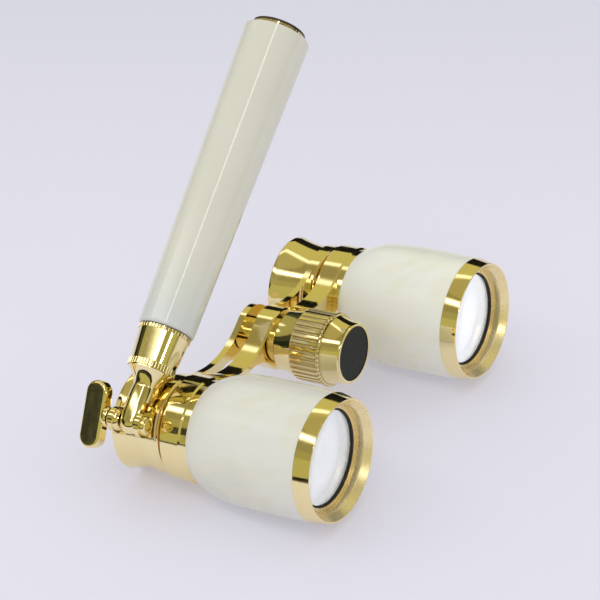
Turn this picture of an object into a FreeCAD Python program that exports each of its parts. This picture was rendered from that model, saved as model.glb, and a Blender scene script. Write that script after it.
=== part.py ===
"""Opera glasses with a folding telescopic handle.

The barrels lie along Y with their objectives towards +Y, Z is up, and the focus axis is in the plane x = 0.
The origin is on the table under the front rims, midway between the barrels.  Millimetres.
"""
import FreeCAD, Part
import Sketcher
import math
import os
import re
from FreeCAD import Placement, Rotation, Vector

SIDES = {"right": 1, "left": -1}

# Driving dimensions: (alias, value).  Every place along a barrel is a depth behind the front rims.
SIZES = [
    # layout
    ("barrel_spacing", 76.4), ("axis_height", 17.0), ("focus_lift", 6.8),
    # objective bezel
    ("bezel_front_r", 15.9), ("bezel_rear_r", 16.8), ("bezel_depth", 4.3), ("rim_r", 15.5),
    ("chamfer_depth", 1.8), ("seat_bore_r", 13.9), ("ring_depth", 4.0), ("lens_bore_r", 13.6),
    ("bezel_end", 7.45), ("bezel_edge", 0.15),
    ("objective_ring_in_r", 12.2), ("objective_ring_t", 1.0), ("ring_bevel", 0.3), ("lens_gap", 0.22),
    ("objective_edge_t", 2.0), ("objective_front_bow", 90.0), ("objective_rear_bow", 120.0),
    # barrel tube and its pearl facing
    ("tube_front_r", 15.3), ("tube_front", 4.9), ("tube_shoulder", 24.0), ("tube_waist", 36.5),
    ("tube_rear_r", 12.3), ("slide_bore_r", 11.48), ("tube_wall", 0.7), ("stop_r", 12.6), ("stop_rear", 9.5),
    ("pearl_front_r", 16.6), ("pearl_mid_r", 16.8), ("pearl_rear_r", 13.5), ("pearl_bend", 28.0),
    ("pearl_end", 37.8), ("pearl_long_bow", 206.0), ("pearl_short_bow", 20.0),
    # front bridge
    ("bridge_front", 39.6), ("arm_rear", 44.7), ("bridge_rear", 45.7), ("ring_r", 13.9), ("hub_r", 8.4),
    ("arm_top_bow", 20.5), ("arm_under_bow", 10.0), ("hub_bore_r", 4.4), ("bridge_bevel", 0.45),
    ("boss_r", 6.2), ("boss_front", 38.3), ("casting_overlap", 0.5),
    # focus wheel
    ("wheel_rear", 38.0), ("wheel_rear_r", 8.1), ("wheel_front", 17.7), ("wheel_front_r", 8.3),
    ("band_rear", 32.2), ("band_front", 23.9), ("band_r", 9.65), ("wheel_body_r", 9.2), ("rib_count", 36),
    ("rib_gap_r", 0.48), ("rib_gap_proud", 0.1), ("wheel_edge", 0.4), ("band_bevel", 0.25),
    ("wheel_rear_bow", 30.0), ("wheel_front_bow", 13.0), ("wheel_nose_bow", 0.7), ("bead_seat_drop", 0.2),
    ("wheel_cavity_r", 6.3), ("wheel_cavity_rear", 35.2), ("cap_r", 7.35), ("cap_depth", 1.1),
    ("cap_inset", 0.15), ("cap_bevel", 0.15), ("cap_gap", 0.2),
    ("bead_ring_t", 0.9), ("bead_proud", 0.05), ("bead_count", 48), ("bead_gap_r", 0.36),
    ("bead_gap_centre", 0.3),
    ("hub_sleeve_front", 33.6), ("retainer_r", 5.7), ("retainer_t", 1.0), ("retainer_gap", 0.2),
    ("nut_front", 26.0), ("nut_t", 6.0), ("screw_r", 2.0), ("screw_front", 20.2), ("screw_clearance", 0.4),
    ("running_gap", 0.05),
    # rear bridge and eyepieces
    ("carriage_front", 46.8), ("rear_arm_front", 48.3), ("carriage_rear", 50.1), ("rear_ring_r", 13.1),
    ("rear_hub_r", 8.0), ("rear_boss_r", 4.8), ("rear_boss_front", 45.1),
    ("rear_arm_top_bow", 23.0), ("rear_arm_under_bow", 11.3),
    ("draw_tube_r", 11.4), ("draw_tube_front", 31.0), ("draw_tube_rear", 54.0), ("draw_tube_wall", 0.8),
    ("cup_rear", 60.4), ("cup_rear_r", 13.85), ("cup_rim_in_r", 12.7), ("cup_rim_round", 0.45),
    ("cup_neck_r", 12.4), ("cup_flare_bow", 34.5), ("cup_bowl_bow", 9.0), ("cup_floor", 56.6),
    ("cup_hole_r", 7.6), ("cell_lip_r", 6.3), ("cell_front", 50.5), ("cell_lip_t", 0.5),
    ("eye_lens_r", 7.0), ("eye_lens_edge_t", 2.2), ("eye_lens_bow", 30.0), ("eye_ring_in_r", 6.2),
    ("spindle_nut_r", 3.6), ("spindle_nut_t", 2.6), ("spindle_nut_bow", 7.0), ("spindle_nut_side", 1.2),
    ("spindle_nut_edge", 0.3),
    # handle bracket and thumb screw
    ("hinge_reach", 18.75), ("hinge_angle", 29.6), ("hinge_depth", 51.15), ("ear_r", 3.2),
    ("ear_rear", 57.6), ("ear_rear_t", 3.6), ("ear_round", 1.1), ("ear_bow", 2.3), ("ear_front_t", 1.45),
    ("saddle_top_r", 14.05),
    ("saddle_half_width", 4.2), ("saddle_foot", 11.0), ("shank_r", 1.2), ("shank_hole_r", 1.27),
    ("shank_front", 46.1), ("pivot_nut_r", 2.4), ("pivot_nut_front", 45.85), ("pivot_nut_in_r", 1.25),
    ("pivot_nut_round", 0.6), ("pivot_nut_bow", 0.9), ("pivot_nut_mouth", 0.2), ("bracket_gap", 0.2),
    ("bracket_margin", 1.0), ("shank_tip", 0.2), ("thrust_gap", 0.1), ("knob_r", 2.45), ("knob_bow", 1.2),
    ("wing_front", 59.0), ("wing_width", 6.3), ("wing_length", 17.5), ("wing_t", 3.6), ("wing_round", 0.8),
    ("wing_lean", 29.5),
    # handle, measured from the hinge along the handle
    ("handle_lean", 50.2), ("tongue_r", 3.0), ("tongue_half_t", 2.6), ("tongue_clear_r", 5.6),
    ("neck_waist", 9.5), ("neck_waist_r", 3.0), ("belly_bow", 40.0), ("flare_bow", 7.6),
    ("flare_top", 13.7), ("flare_r", 5.9), ("collar_start", 14.0), ("collar_ring_t", 1.6),
    ("collar_ring_r", 6.3), ("tongue_spigot_r", 4.6), ("tongue_spigot_top", 18.0),
    ("collar_low_r", 6.0), ("collar_high_r", 6.75), ("collar_top", 23.9),
    ("upper_ring_r", 6.95), ("upper_ring_t", 0.95),
    ("knurl_count", 48), ("knurl_r", 0.28), ("knurl_proud", 0.12),
    ("inner_tube_r", 5.4), ("inner_tube_wall", 0.7), ("inner_tube_top", 103.6), ("stop_ring_r", 6.0),
    ("stop_ring_t", 3.0), ("sleeve_start", 25.1), ("sleeve_end", 111.0), ("sleeve_low_r", 7.45),
    ("sleeve_high_r", 9.05), ("sleeve_bore_r", 6.1), ("sleeve_round", 0.8), ("sleeve_top_round", 0.5),
    ("bush_t", 5.5), ("bush_gap", 0.3),
    ("end_ring_r", 7.4), ("end_ring_t", 1.1), ("end_cap_r", 7.2), ("end_cap_bow", 24.0),
    ("cap_stem_step", 1.5), ("cap_stem_t", 1.0), ("cap_side", 0.75),
]

WORD = re.compile(r"\b[a-z_]+[a-z0-9_]*\b(?!\()")


def make_sheet(doc):
    """The spreadsheet of driving dimensions."""
    sheet = doc.addObject("Spreadsheet::Sheet", "Sizes")
    for row, (alias, size) in enumerate(SIZES, start=1):
        sheet.set(f"A{row}", alias)
        sheet.set(f"B{row}", str(size))
        sheet.setAlias(f"B{row}", alias)
    doc.recompute()
    return sheet


doc = FreeCAD.newDocument("OperaGlasses")
sheet = make_sheet(doc)
subparts = []


def value(formula):
    """The number that a formula of sheet names gives now."""
    return float(sheet.evalExpression(str(formula)))


def linked(formula):
    """The same formula, with each name pointing at the sheet."""
    return WORD.sub(lambda word: "Sizes." + word.group(0), str(formula))


def bind(item, prop, formula):
    item.setExpression(prop, linked(formula))


def new_body(label):
    body = doc.addObject("PartDesign::Body", label)
    body.Label = label
    subparts.append(body)
    return body


def new_sketch(body, name, plane, depth=None):
    """A sketch on one of the body's origin planes; on XZ_Plane a depth moves it along -Y."""
    sketch = body.newObject("Sketcher::SketchObject", name)
    support = [item for item in body.Origin.OriginFeatures if item.Role == plane][0]
    sketch.AttachmentSupport = [(support, "")]
    sketch.MapMode = "FlatFace"
    if depth is not None:
        bind(sketch, "AttachmentOffset.Base.z", depth)
    return sketch


def fix_point(sketch, geometry, position, x_formula, y_formula):
    """Dimensions a point from the sketch's origin and binds both dimensions to the sheet."""
    for kind, formula in (("DistanceX", x_formula), ("DistanceY", y_formula)):
        index = sketch.addConstraint(Sketcher.Constraint(kind, geometry, position, value(formula)))
        bind(sketch, f"Constraints[{index}]", formula)


def arc_between(start, end, bow):
    """Arc from start to end of radius |bow|; a positive bow turns left on the way."""
    half = (end - start) * 0.5
    left = Vector(-half.y, half.x, 0).normalize()
    reach = math.sqrt(max(bow * bow - half.Length ** 2, 0.0))
    centre = start + half + left * (reach if bow > 0 else -reach)
    first, last = (start, end) if bow > 0 else (end, start)
    angles = [math.atan2(point.y - centre.y, point.x - centre.x) for point in (first, last)]
    circle = Part.Circle(centre, Vector(0, 0, 1), abs(bow))
    return Part.ArcOfCircle(circle, angles[0], angles[1])


def add_outline(sketch, points):
    """A closed outline of (x, y) formulas; a third entry is the bow of the arc to the next point."""
    corners = [Vector(value(point[0]), value(point[1]), 0) for point in points]
    pieces = []
    for index, point in enumerate(points):
        start = corners[index]
        end = corners[(index + 1) % len(points)]
        if len(point) == 2:
            geometry = sketch.addGeometry(Part.LineSegment(start, end), False)
            pieces.append((geometry, 1, 2))
            continue
        bow = value(point[2])
        geometry = sketch.addGeometry(arc_between(start, end, bow), False)
        pieces.append((geometry, 1, 2) if bow > 0 else (geometry, 2, 1))
        radius = point[2] if bow > 0 else f"-({point[2]})"
        dimension = sketch.addConstraint(Sketcher.Constraint("Radius", geometry, abs(bow)))
        bind(sketch, f"Constraints[{dimension}]", radius)
    for index, (geometry, first, last) in enumerate(pieces):
        after, after_first, _ = pieces[(index + 1) % len(pieces)]
        sketch.addConstraint(Sketcher.Constraint("Coincident", geometry, last, after, after_first))
        fix_point(sketch, geometry, first, points[index][0], points[index][1])


def add_circle(sketch, x_formula, y_formula, radius):
    centre = Vector(value(x_formula), value(y_formula), 0)
    geometry = sketch.addGeometry(Part.Circle(centre, Vector(0, 0, 1), value(radius)), False)
    fix_point(sketch, geometry, 3, x_formula, y_formula)
    index = sketch.addConstraint(Sketcher.Constraint("Radius", geometry, value(radius)))
    bind(sketch, f"Constraints[{index}]", radius)


def turned(label, points):
    """A body turned about its Y axis from an outline of (radius, y) formulas."""
    body = new_body(label)
    sketch = new_sketch(body, label + "_profile", "XY_Plane")
    add_outline(sketch, points)
    turning = body.newObject("PartDesign::Revolution", label + "_turning")
    turning.Profile = sketch
    turning.ReferenceAxis = (sketch, ["V_Axis"])
    turning.Angle = 360
    doc.recompute()
    return body


def tube(label, outer, inner, start, end):
    """A plain ring or tube about Y between two y formulas."""
    return turned(label, [(inner, start), (outer, start), (outer, end), (inner, end)])


def pad(body, name, sketch, length, midplane=False):
    feature = body.newObject("PartDesign::Pad", name)
    feature.Profile = sketch
    bind(feature, "Length", length)
    feature.Midplane = midplane
    doc.recompute()
    return feature


def remove(body, name, kind, sketch, **settings):
    """A Pocket or Groove that has to take material away."""
    before = body.Shape.Volume
    feature = body.newObject("PartDesign::" + kind, name)
    feature.Profile = sketch
    for prop, setting in settings.items():
        setattr(feature, prop, setting)
    doc.recompute()
    if body.Shape.Volume >= before:
        raise RuntimeError(name + " removes nothing")
    return feature


def flute(body, name, radius, notch_r, count, start):
    """Round flutes around the outside, cut along -Y from a start depth through the rest of the body."""
    sketch = new_sketch(body, name + "_notch", "XZ_Plane", start)
    add_circle(sketch, radius, "0", notch_r)
    pocket = remove(body, name + "_flute", "Pocket", sketch, Type=1, Reversed=True)
    pattern = body.newObject("PartDesign::PolarPattern", name + "_pattern")
    pattern.Originals = [pocket]
    pattern.Axis = (sketch, ["N_Axis"])
    pattern.Angle = 360
    bind(pattern, "Occurrences", count)
    body.Tip = pattern
    doc.recompute()


def on_barrel(body, side):
    bind(body, "Placement.Base.x", f"{side} * barrel_spacing / 2")
    bind(body, "Placement.Base.z", "axis_height")


def on_focus_axis(body):
    bind(body, "Placement.Base.z", "axis_height + focus_lift")


def at_hinge(body, rotation=Rotation()):
    """Puts a body's origin on the handle's hinge axis, in the middle of the tongue."""
    body.Placement = Placement(Vector(), rotation)
    bind(body, "Placement.Base.x", "barrel_spacing / 2 + hinge_reach * cos(hinge_angle)")
    bind(body, "Placement.Base.z", "axis_height + hinge_reach * sin(hinge_angle)")
    bind(body, "Placement.Base.y", "-hinge_depth")


def along_handle(body):
    """Turns a body so that its Y axis runs up the handle and its Z axis lies on the hinge."""
    lean = math.radians(value("handle_lean"))
    across = Vector(-math.cos(lean), 0, -math.sin(lean))
    along = Vector(-math.sin(lean), 0, math.cos(lean))
    at_hinge(body, Rotation(across, along, Vector(0, 1, 0), "XYZ"))


# ---------------------------------------------------------------- barrels

def objective_bezel(name, side):
    body = turned("objective_bezel_" + name, [
        ("rim_r", "0"), ("bezel_front_r - bezel_edge", "0"), ("bezel_front_r", "-bezel_edge"),
        ("bezel_rear_r", "-bezel_depth"), ("tube_front_r", "-bezel_depth"), ("tube_front_r", "-tube_front"),
        ("tube_front_r - tube_wall", "-tube_front"), ("tube_front_r - tube_wall", "-bezel_end"),
        ("lens_bore_r", "-bezel_end"), ("lens_bore_r", "-ring_depth"), ("seat_bore_r", "-ring_depth"),
        ("seat_bore_r", "-chamfer_depth")])
    on_barrel(body, side)


def objective_lens(name, side):
    front_edge = "-(ring_depth + objective_ring_t + lens_gap)"
    rear_edge = "-(ring_depth + objective_ring_t + lens_gap + objective_edge_t)"
    front_rise = "(objective_front_bow - sqrt(objective_front_bow ^ 2 - lens_bore_r ^ 2))"
    rear_rise = "(objective_rear_bow - sqrt(objective_rear_bow ^ 2 - lens_bore_r ^ 2))"
    body = turned("objective_lens_" + name, [
        ("0", rear_edge + " - " + rear_rise, "objective_rear_bow"), ("lens_bore_r", rear_edge),
        ("lens_bore_r", front_edge, "objective_front_bow"), ("0", front_edge + " + " + front_rise)])
    on_barrel(body, side)


def objective_ring(name, side):
    rear = "-(ring_depth + objective_ring_t)"
    body = turned("objective_ring_" + name, [
        ("objective_ring_in_r", rear + " + ring_bevel"), ("objective_ring_in_r", "-ring_depth - ring_bevel"),
        ("objective_ring_in_r + ring_bevel", "-ring_depth"), ("lens_bore_r", "-ring_depth"),
        ("lens_bore_r", rear), ("objective_ring_in_r + ring_bevel", rear)])
    on_barrel(body, side)


def barrel_tube(name, side):
    """Tube under the pearl, with a stop behind the objective and a narrow rear end for the draw tube."""
    wall_in_r = "tube_front_r - tube_wall"
    body = turned("barrel_tube_" + name, [
        (wall_in_r, "-tube_front"), ("tube_front_r", "-tube_front"), ("tube_front_r", "-tube_shoulder"),
        ("tube_rear_r", "-tube_waist"), ("tube_rear_r", "-bridge_rear"), ("slide_bore_r", "-bridge_rear"),
        ("slide_bore_r", "-tube_waist"), (wall_in_r, "-tube_shoulder"), (wall_in_r, "-stop_rear"),
        ("stop_r", "-stop_rear"), ("stop_r", "-bezel_end"), (wall_in_r, "-bezel_end")])
    on_barrel(body, side)


def pearl_sleeve(name, side):
    body = turned("pearl_sleeve_" + name, [
        ("tube_front_r", "-bezel_depth"), ("tube_front_r", "-tube_shoulder"), ("tube_rear_r", "-tube_waist"),
        ("tube_rear_r", "-pearl_end"), ("pearl_rear_r", "-pearl_end", "pearl_short_bow"),
        ("pearl_mid_r", "-pearl_bend", "pearl_long_bow"), ("pearl_front_r", "-bezel_depth")])
    on_barrel(body, side)


# ---------------------------------------------------------------- bridges

def touching_arc(near, near_r, far, far_r, bow, above):
    """Centre of the arc of radius bow that touches two circles from above or below."""
    gap = far - near
    first = near_r + bow
    second = far_r + bow
    along = (first ** 2 - second ** 2 + gap.Length ** 2) / (2 * gap.Length)
    rise = math.sqrt(first ** 2 - along ** 2)
    forward = Vector(gap).normalize()
    upward = Vector(-forward.y, forward.x, 0)
    return near + forward * along + upward * (rise if above else -rise)


def arc_on(centre, radius, start, end):
    """Counter-clockwise arc about a centre from one point to another."""
    angles = [math.atan2(point.y - centre.y, point.x - centre.x) for point in (start, end)]
    return Part.ArcOfCircle(Part.Circle(centre, Vector(0, 0, 1), radius), angles[0], angles[1])


def bridge_sketch(sketch, ring_r, hub_r, top_bow, under_bow):
    """Front view of a bridge: hub and rings joined by arms whose edges are arcs tangent to both."""
    hub = Vector(0, value("focus_lift"), 0)
    ring = Vector(value("barrel_spacing") / 2, 0, 0)
    names = {"hub": hub_r, "ring": ring_r, "top": top_bow, "under": under_bow}
    radius = {key: value(formula) for key, formula in names.items()}
    top = touching_arc(hub, radius["hub"], ring, radius["ring"], radius["top"], True)
    under = touching_arc(hub, radius["hub"], ring, radius["ring"], radius["under"], False)

    def touch(centre, reach, toward):
        return centre + (toward - centre).normalize() * reach

    def flip(point):
        return Vector(-point.x, point.y, 0)

    hub_top = touch(hub, radius["hub"], top)
    hub_under = touch(hub, radius["hub"], under)
    ring_top = touch(ring, radius["ring"], top)
    ring_under = touch(ring, radius["ring"], under)
    # counter-clockwise round the outline; concave arcs run backwards
    chain = [
        ("hub", hub, hub_top, flip(hub_top), True), ("top", flip(top), flip(hub_top), flip(ring_top), False),
        ("ring", flip(ring), flip(ring_top), flip(ring_under), True),
        ("under", flip(under), flip(ring_under), flip(hub_under), False),
        ("hub", hub, flip(hub_under), hub_under, True), ("under", under, hub_under, ring_under, False),
        ("ring", ring, ring_under, ring_top, True), ("top", top, ring_top, hub_top, False)]
    ends = []
    for key, centre, start, end, outward in chain:
        first, last = (start, end) if outward else (end, start)
        geometry = sketch.addGeometry(arc_on(centre, radius[key], first, last), False)
        ends.append((geometry, 1, 2) if outward else (geometry, 2, 1))
        if key == "hub":
            fix_point(sketch, geometry, 3, "0", "focus_lift")
        if key == "ring":
            side = 1 if centre.x > 0 else -1
            fix_point(sketch, geometry, 3, f"{side} * barrel_spacing / 2", "0")
        dimension = sketch.addConstraint(Sketcher.Constraint("Radius", geometry, radius[key]))
        bind(sketch, f"Constraints[{dimension}]", names[key])
    for index, (geometry, _, last) in enumerate(ends):
        after, after_first, _ = ends[(index + 1) % len(ends)]
        sketch.addConstraint(Sketcher.Constraint("Tangent", geometry, last, after, after_first))


def bridge(label, shape, front, rear, ring_bore, hub_bore):
    """A cast bridge plate; its sketch plane is on the front face and the pad runs back along -Y."""
    body = new_body(label)
    sketch = new_sketch(body, label + "_outline", "XZ_Plane", front)
    bridge_sketch(sketch, *shape)
    for side in SIDES.values():
        add_circle(sketch, f"{side} * barrel_spacing / 2", "0", ring_bore)
    add_circle(sketch, "0", "focus_lift", hub_bore)
    pad(body, label + "_plate", sketch, f"{rear} - {front}")
    bind(body, "Placement.Base.z", "axis_height")
    return body


def turned_rim(body, name, side, profile):
    """Adds a turned rim to a bridge about one barrel's axis; the profile is (radius, y) formulas."""
    centre = f"{side} * barrel_spacing / 2"
    sketch = new_sketch(body, name, "XY_Plane")
    add_outline(sketch, [(f"{centre} + {radius}", y_formula) for radius, y_formula in profile])
    axis = sketch.addGeometry(Part.LineSegment(Vector(value(centre), 0, 0), Vector(value(centre), 10, 0)), True)
    fix_point(sketch, axis, 1, centre, "0")
    fix_point(sketch, axis, 2, centre, "10")
    turning = body.newObject("PartDesign::Revolution", name + "_turning")
    turning.Profile = sketch
    turning.ReferenceAxis = (sketch, ["Axis0"])
    turning.Angle = 360
    doc.recompute()


def bevel_rims(body, label, size, depths):
    """Bevels the outer edges of the faces at the given depths, leaving the bores sharp."""
    plate = body.Tip
    chosen = []
    for number, edge in enumerate(plate.Shape.Edges, start=1):
        box = edge.BoundBox
        level = box.YLength < 1e-6 and any(abs(box.YMin + value(depth)) < 1e-4 for depth in depths)
        if level and not edge.isClosed():
            chosen.append(f"Edge{number}")
    bevel = body.newObject("PartDesign::Chamfer", label + "_bevel")
    bevel.Base = (plate, chosen)
    bind(bevel, "Size", size)
    doc.recompute()


def front_bridge():
    """Rings on the barrels' rear ends, arms that stop short behind, and a boss that the wheel runs against."""
    label = "front_bridge"
    shape = ("ring_r", "hub_r", "arm_top_bow", "arm_under_bow")
    body = bridge(label, shape, "bridge_front", "arm_rear", "tube_rear_r", "hub_bore_r")
    bevel_rims(body, label, "bridge_bevel", ["bridge_front"])
    for name, side in SIDES.items():
        turned_rim(body, f"pearl_lip_{name}", side, [
            ("tube_rear_r", "-bridge_front - casting_overlap"),
            ("ring_r - bridge_bevel", "-bridge_front - casting_overlap"),
            ("ring_r - bridge_bevel", "-bridge_front"),
            ("pearl_rear_r", "-pearl_end"), ("tube_rear_r", "-pearl_end")])
        turned_rim(body, f"rear_rim_{name}", side, [
            ("tube_rear_r", "-bridge_rear"), ("ring_r - bridge_bevel", "-bridge_rear"),
            ("ring_r", "-bridge_rear + bridge_bevel"), ("ring_r", "-arm_rear + casting_overlap"),
            ("tube_rear_r", "-arm_rear + casting_overlap")])
    boss = new_sketch(body, "boss", "XZ_Plane", "boss_front")
    add_circle(boss, "0", "focus_lift", "boss_r")
    add_circle(boss, "0", "focus_lift", "hub_bore_r")
    pad(body, "boss_pad", boss, "bridge_front - boss_front + casting_overlap")


def rear_bridge():
    """Thin arms with a rim round each draw tube that reaches forward to the front bridge."""
    label = "rear_bridge"
    shape = ("rear_ring_r", "rear_hub_r", "rear_arm_top_bow", "rear_arm_under_bow")
    body = bridge(label, shape, "rear_arm_front", "carriage_rear", "draw_tube_r", "screw_r")
    for name, side in SIDES.items():
        turned_rim(body, f"front_rim_{name}", side, [
            ("draw_tube_r", "-rear_arm_front - casting_overlap"),
            ("rear_ring_r", "-rear_arm_front - casting_overlap"),
            ("rear_ring_r", "-carriage_front - bridge_bevel"),
            ("rear_ring_r - bridge_bevel", "-carriage_front"), ("draw_tube_r", "-carriage_front")])
    boss = new_sketch(body, "rear_boss", "XZ_Plane", "rear_boss_front")
    add_circle(boss, "0", "focus_lift", "rear_boss_r")
    add_circle(boss, "0", "focus_lift", "screw_r")
    pad(body, "rear_boss_pad", boss, "rear_arm_front - rear_boss_front + casting_overlap")


# ---------------------------------------------------------------- focusing

def hub_sleeve():
    body = tube("hub_sleeve", "hub_bore_r", "screw_r + screw_clearance", "-hub_sleeve_front", "-arm_rear")
    on_focus_axis(body)


def wheel_retaining_ring():
    body = tube("wheel_retaining_ring", "retainer_r", "hub_bore_r", "-hub_sleeve_front - retainer_gap",
                "-hub_sleeve_front - retainer_gap - retainer_t")
    on_focus_axis(body)


def focus_wheel():
    label = "focus_wheel"
    bore = "hub_bore_r + running_gap"
    bead_seat = "wheel_body_r - bead_seat_drop"
    bead_front = "-band_front + bead_ring_t"
    cap_seat = "-wheel_front - cap_depth - cap_gap"
    body = turned(label, [
        (bore, "-wheel_rear"), ("wheel_rear_r - wheel_edge", "-wheel_rear"),
        ("wheel_rear_r", "-wheel_rear + wheel_edge", "-wheel_rear_bow"), ("wheel_body_r", "-band_rear"),
        ("band_r", "-band_rear + band_bevel"), ("band_r", "-band_front"), (bead_seat, "-band_front"),
        (bead_seat, bead_front), ("wheel_body_r", bead_front, "-wheel_front_bow"),
        ("wheel_front_r", "-wheel_front - wheel_edge", "-wheel_nose_bow"),
        ("wheel_front_r - wheel_edge", "-wheel_front"), ("cap_r", "-wheel_front"), ("cap_r", cap_seat),
        ("wheel_cavity_r", cap_seat), ("wheel_cavity_r", "-wheel_cavity_rear"), (bore, "-wheel_cavity_rear")])
    ribs = new_sketch(body, "rib_gap", "XZ_Plane", "band_front")
    add_circle(ribs, "band_r + rib_gap_proud", "0", "rib_gap_r")
    length = value("band_rear") - value("band_front")
    pocket = remove(body, "rib_gap_cut", "Pocket", ribs, Type=0, Reversed=True, Length=length)
    bind(pocket, "Length", "band_rear - band_front")
    pattern = body.newObject("PartDesign::PolarPattern", "rib_pattern")
    pattern.Originals = [pocket]
    pattern.Axis = (ribs, ["N_Axis"])
    pattern.Angle = 360
    bind(pattern, "Occurrences", "rib_count")
    body.Tip = pattern
    doc.recompute()
    on_focus_axis(body)


def wheel_bead_ring():
    """Ring of beads in front of the ribs: a round-edged ring with a flute between beads."""
    seat = "wheel_body_r - bead_seat_drop"
    crest = "band_r + bead_proud"
    front = "-band_front + bead_ring_t"
    body = turned("wheel_bead_ring", [
        (seat, "-band_front"), (crest, "-band_front", "bead_ring_t / 2 + bead_proud"), (crest, front),
        (seat, front)])
    flute(body, "bead", "band_r + bead_gap_centre", "bead_gap_r", "bead_count", "band_front - bead_ring_t")
    on_focus_axis(body)


def focus_nut():
    body = tube("focus_nut", "wheel_cavity_r", "screw_r + running_gap", "-nut_front", "-nut_front - nut_t")
    on_focus_axis(body)


def wheel_cap():
    body = turned("wheel_cap", [
        ("0", "-wheel_front - cap_depth"), ("cap_r", "-wheel_front - cap_depth"),
        ("cap_r", "-wheel_front - cap_inset - cap_bevel"), ("cap_r - cap_bevel", "-wheel_front - cap_inset"),
        ("0", "-wheel_front - cap_inset")])
    on_focus_axis(body)


def lead_screw():
    body = turned("lead_screw", [
        ("0", "-carriage_rear - spindle_nut_side"), ("screw_r", "-carriage_rear - spindle_nut_side"),
        ("screw_r", "-screw_front - screw_clearance"), ("screw_r - screw_clearance", "-screw_front"),
        ("0", "-screw_front")])
    on_focus_axis(body)


def spindle_nut():
    side = "-carriage_rear - spindle_nut_side"
    body = turned("spindle_nut", [
        ("screw_r", "-carriage_rear"), ("screw_r", side), ("0", side),
        ("0", "-carriage_rear - spindle_nut_t", "spindle_nut_bow"),
        ("spindle_nut_r - spindle_nut_edge", side + " - spindle_nut_edge"), ("spindle_nut_r", side),
        ("spindle_nut_r", "-carriage_rear")])
    on_focus_axis(body)


# ---------------------------------------------------------------- eyepieces

def draw_tube(name, side):
    body = tube("draw_tube_" + name, "draw_tube_r", "draw_tube_r - draw_tube_wall",
                "-draw_tube_front", "-draw_tube_rear")
    on_barrel(body, side)


def eyecup(name, side):
    body = turned("eyecup_" + name, [
        ("draw_tube_r", "-carriage_rear"), ("cup_neck_r", "-carriage_rear", "cup_flare_bow"),
        ("cup_rear_r", "-cup_rear + cup_rim_round", "-cup_rim_round * 1.2"),
        ("cup_rear_r - cup_rim_round", "-cup_rear"), ("cup_rim_in_r", "-cup_rear", "-cup_bowl_bow"),
        ("cup_hole_r", "-cup_floor"), ("cup_hole_r", "-draw_tube_rear"), ("draw_tube_r", "-draw_tube_rear")])
    on_barrel(body, side)


def eye_lens_parts(name, side):
    cell_r = "draw_tube_r - draw_tube_wall"
    lens_rear = "-draw_tube_rear + cell_lip_t"
    lens_front = "-draw_tube_rear + cell_lip_t + eye_lens_edge_t"
    hollow = "(eye_lens_bow - sqrt(eye_lens_bow ^ 2 - eye_lens_r ^ 2))"
    cell = turned("eye_lens_cell_" + name, [
        ("cell_lip_r", "-draw_tube_rear"), (cell_r, "-draw_tube_rear"), (cell_r, "-cell_front"),
        ("eye_lens_r", "-cell_front"), ("eye_lens_r", lens_rear), ("cell_lip_r", lens_rear)])
    lens = turned("eye_lens_" + name, [
        ("0", lens_rear + " + " + hollow, "-eye_lens_bow"), ("eye_lens_r", lens_rear),
        ("eye_lens_r", lens_front, "-eye_lens_bow"), ("0", lens_front + " - " + hollow)])
    ring = tube("eye_lens_ring_" + name, "eye_lens_r", "eye_ring_in_r", lens_front, "-cell_front")
    for body in (cell, lens, ring):
        on_barrel(body, side)


# ---------------------------------------------------------------- handle bracket and thumb screw

def rounded_ear(body):
    """Turns the rear ear's end into a thick disc with a rounded rim about the hinge."""
    sketch = new_sketch(body, "ear_disc", "YZ_Plane")
    rear = "-ear_rear"
    front = "-ear_rear + ear_rear_t"
    add_outline(sketch, [
        (rear, "hinge_reach"), (front, "hinge_reach"), (front, "hinge_reach + ear_r - ear_round", "ear_bow"),
        (rear, "hinge_reach + ear_r - ear_round")])
    axis = sketch.addGeometry(Part.LineSegment(Vector(0, value("hinge_reach"), 0),
                                               Vector(10, value("hinge_reach"), 0)), True)
    fix_point(sketch, axis, 1, "0", "hinge_reach")
    fix_point(sketch, axis, 2, "10", "hinge_reach")
    turning = body.newObject("PartDesign::Revolution", "ear_disc_turning")
    turning.Profile = sketch
    turning.ReferenceAxis = (sketch, ["Axis0"])
    turning.Angle = 360
    doc.recompute()


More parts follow.
